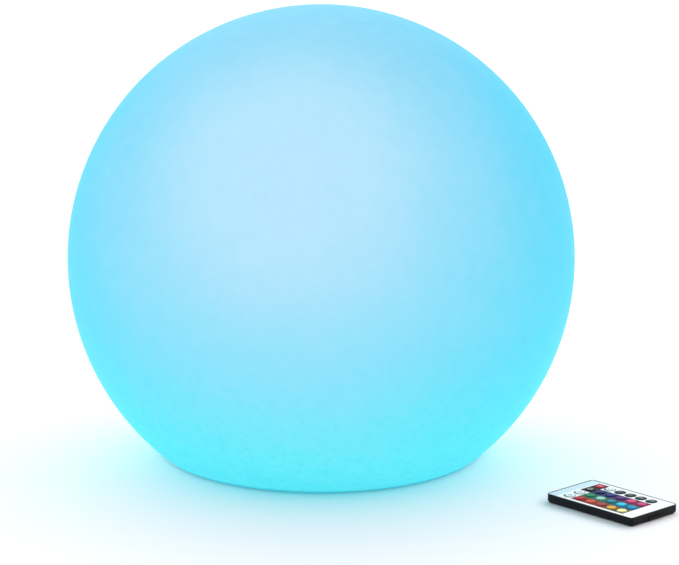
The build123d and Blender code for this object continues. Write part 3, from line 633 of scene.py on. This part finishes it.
WHITE_KEY, BLACK_KEY, SLATE_KEY = (0.80, 0.84, 0.88), (0.020, 0.020, 0.024), (0.030, 0.045, 0.048)
KEY_COLOURS = [
    [WHITE_KEY, WHITE_KEY, BLACK_KEY, (0.58, 0.035, 0.075)],
    [(0.42, 0.018, 0.032), (0.003, 0.23, 0.10), (0.007, 0.018, 0.11), WHITE_KEY],
    [(0.62, 0.085, 0.045), (0.25, 0.61, 0.46), (0.007, 0.032, 0.17), SLATE_KEY],
    [(0.32, 0.050, 0.040), (0.008, 0.21, 0.27), (0.075, 0.018, 0.13), SLATE_KEY],
    [(0.70, 0.37, 0.030), (0.022, 0.52, 0.78), (0.65, 0.070, 0.19), SLATE_KEY],
    [(0.84, 0.81, 0.34), (0.003, 0.27, 0.46), (0.54, 0.050, 0.18), SLATE_KEY],
]
DARK_INK = (0.03, 0.035, 0.045)
WHITE_INK = (0.85, 0.87, 0.88)
BAR_PITCH = 1.5
SLATE_MARK, PLAIN_MARK = 0.35, 0.85
KEY_SHOULDER = 0.55 * MM
KEY_CROWN = 0.22 * MM
FLANGE_THICKNESS = 0.45 * MM
SHOULDER_END = 72
CROWN_STEPS = 7
KEY_SEGMENTS = 48


def key_mark(u, v, row, column):
    """Plain printed sign on a key: sun with rays, ring, bar, or one to four short bars."""
    if row == 0 and column < 2:
        sun = spot(u, v, 0, 0, 1.05)
        rays = (abs(u) - 1.9).below(0.5, 0.2) * abs(v).below(0.28, 0.2)
        rays = rays.most(abs(u).below(0.28, 0.2) * (abs(v) - 1.9).below(0.5, 0.2))
        return sun.most(rays) if column == 0 else rays.most(sun - spot(u, v, 0, 0, 0.65))
    if row == 0 and column == 2:
        return spot(u, v, 0, 0, 1.9) - spot(u, v, 0, 0, 1.35)
    if row == 0 and column == 3:
        return abs(u).below(1.9, 0.25) * abs(v).below(0.32, 0.2)
    if row == 1 and column == 3:
        return spot(u, v, 0, 0, 2.0) - spot(u, v, 0, 0, 1.6)
    if column < 3:
        return None
    marks = None
    for index in range(row - 1):
        offset = (index - (row - 2) / 2) * BAR_PITCH
        bar = abs(u - offset).below(0.32, 0.2) * abs(v).below(1.5, 0.25)
        marks = bar if marks is None else marks.most(bar)
    return marks


def key_finish(row, column):
    """Coloured key, deeper towards its edge, with its sign."""
    colour = KEY_COLOURS[row][column]
    finish = Finish(f"key row {row + 1} column {column + 1}")
    u, v = remote_axes(finish, KEY_AT[row, column])
    fine = finish.noise(0.0005, 2.0, 0.5)
    drift = finish.noise(0.004, 2.0, 0.5)
    reach = (u * u + v * v) ** 0.5
    pale = [min(1.0, value * 1.12 + 0.01) for value in colour]
    deep = [value * 0.72 for value in colour]
    paint = finish.mix(drift, colour, pale)
    paint = finish.mix(reach.above(0.8 * KEY_RADIUS, 1.2) * 0.8, paint, deep)
    mark = key_mark(u, v, row, column)
    if mark is not None:
        ink = DARK_INK if min(colour) > 0.5 else WHITE_INK
        paint = finish.mix(mark * (SLATE_MARK if colour is SLATE_KEY else PLAIN_MARK), paint, ink)
    finish.set(Base_Color=paint, Roughness=0.42 + (fine - 0.5) * 0.14, Specular_IOR_Level=0.012,
               Normal=finish.bump(fine, 0.2, 0.00002))
    return finish.material


def key_outline(low_z, top_z, radius, flange):
    """Low domed key with a soft shoulder and a hidden flange."""
    flange_top = low_z + FLANGE_THICKNESS
    points = [(0.0, low_z), (flange, low_z), (flange, flange_top), (radius, flange_top)]
    shoulder_at = (radius - KEY_SHOULDER, top_z - KEY_CROWN - KEY_SHOULDER)
    points += arc(shoulder_at, KEY_SHOULDER, 0, SHOULDER_END, 7)
    reach, start = points[-1]
    for step in range(1, CROWN_STEPS + 1):
        share = step / CROWN_STEPS
        points.append((reach * (1 - share), start + (top_z - start) * math.sin(share * math.pi / 2)))
    points[-1] = (0.0, top_z)
    return points


for (row, column), middle in KEY_AT.items():
    node = f"remote_key_r{row + 1}c{column + 1}"
    low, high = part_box(node)
    outline = key_outline(low.z, high.z, KEY_RADIUS * MM, (high.x - low.x) / 2)
    name = f"key_cap_r{row + 1}c{column + 1}"
    mesh = turn_mesh(name, outline, KEY_SEGMENTS, (middle.x, middle.y))
    cap = add_piece(name, mesh, BODY_OF[node], SLOT_OF[node], node)
    cap.data.materials.append(key_finish(row, column))


# ---------------------------------------------------------------- floor, lights and camera
FLOOR_REACH = 12.0
FLOOR_DROP = 0.0002


def paper_finish():
    """White paper with a faint tooth."""
    finish = Finish("pale studio floor")
    fine = finish.noise(0.004, 2.0, 0.5)
    finish.set(Base_Color=finish.mix(fine, (0.927, 0.912, 0.928), (0.942, 0.926, 0.942)),
               Roughness=0.9, Specular_IOR_Level=0.0)
    return finish.material


def floor_mesh():
    shape = bmesh.new()
    bmesh.ops.create_grid(shape, x_segments=24, y_segments=24, size=FLOOR_REACH)
    mesh = bpy.data.meshes.new("studio_floor")
    shape.to_mesh(mesh)
    shape.free()
    return mesh


floor = bpy.data.objects.new("studio_floor", floor_mesh())
bpy.context.scene.collection.objects.link(floor)
floor.location.z = -FLOOR_DROP
floor.data.materials.append(paper_finish())


class Surround(Finish):
    """White tent round the scene, put together from evenly bright panels."""

    def __init__(self, name, strength):
        self.world = bpy.data.worlds.new(name)
        self.world.use_nodes = True
        self.tree = self.world.node_tree
        self.tree.nodes.clear()
        self.output = self.tree.nodes.new("ShaderNodeOutputWorld")
        self.place = self.node("ShaderNodeTexCoord").outputs["Generated"]
        self.light = self.panel(strength)

    def panel(self, strength):
        """Evenly bright white."""
        return self.node("ShaderNodeBackground", None, {0: (1.0, 1.0, 1.0), 1: strength}).outputs[0]

    def add(self, area, strength):
        """Brightens one part of the tent."""
        sockets = {0: area, 1: self.light, 2: self.panel(strength)}
        self.light = self.node("ShaderNodeMixShader", None, sockets).outputs[0]
        self.tree.links.new(self.light, self.output.inputs["Surface"])


DARK_TENT = 0.05
LOW_BACK = 2.5
WALLS = 2.85
BACK_WALL = 4.1
FRONT_WALL = 0.05
ROOF = 0.50
WALL_FOOT, ROOF_EDGE = 0.35, 0.75

tent = Surround("white tent", DARK_TENT)
right, back, rise = tent.axes()
level = (right * right + back * back).most(0.0001)
front_share = (back * -1).most(0) ** 2 / level
back_share = back.most(0) ** 2 / level
roof = rise.above(ROOF_EDGE, 0.1)
walls = rise.above(WALL_FOOT, 0.1)
tent.add(rise.above(0.0, 0.02) * back_share, LOW_BACK)
tent.add(walls, WALLS)
tent.add(walls * back_share, BACK_WALL)
tent.add(walls * front_share, FRONT_WALL)
tent.add(roof, ROOF)
bpy.context.scene.world = tent.world

CAMERA_AT = (0.0, -2.4359, 0.7177)
CAMERA_TURN = math.radians(0.338)
CAMERA_TILT = math.radians(13.445)
LENS = 167.64

camera_data = bpy.data.cameras.new("camera")
camera_data.lens = LENS
camera_data.sensor_width = 36.0
camera_data.clip_end = 60.0
camera = bpy.data.objects.new("camera", camera_data)
bpy.context.scene.collection.objects.link(camera)
camera.location = CAMERA_AT
level_look = Vector((math.sin(CAMERA_TURN), math.cos(CAMERA_TURN), 0)) * math.cos(CAMERA_TILT)
look = level_look - Vector((0, 0, math.sin(CAMERA_TILT)))
camera.rotation_euler = look.to_track_quat("-Z", "Y").to_euler()
bpy.context.scene.camera = camera
bpy.context.scene.view_settings.view_transform = "Standard"
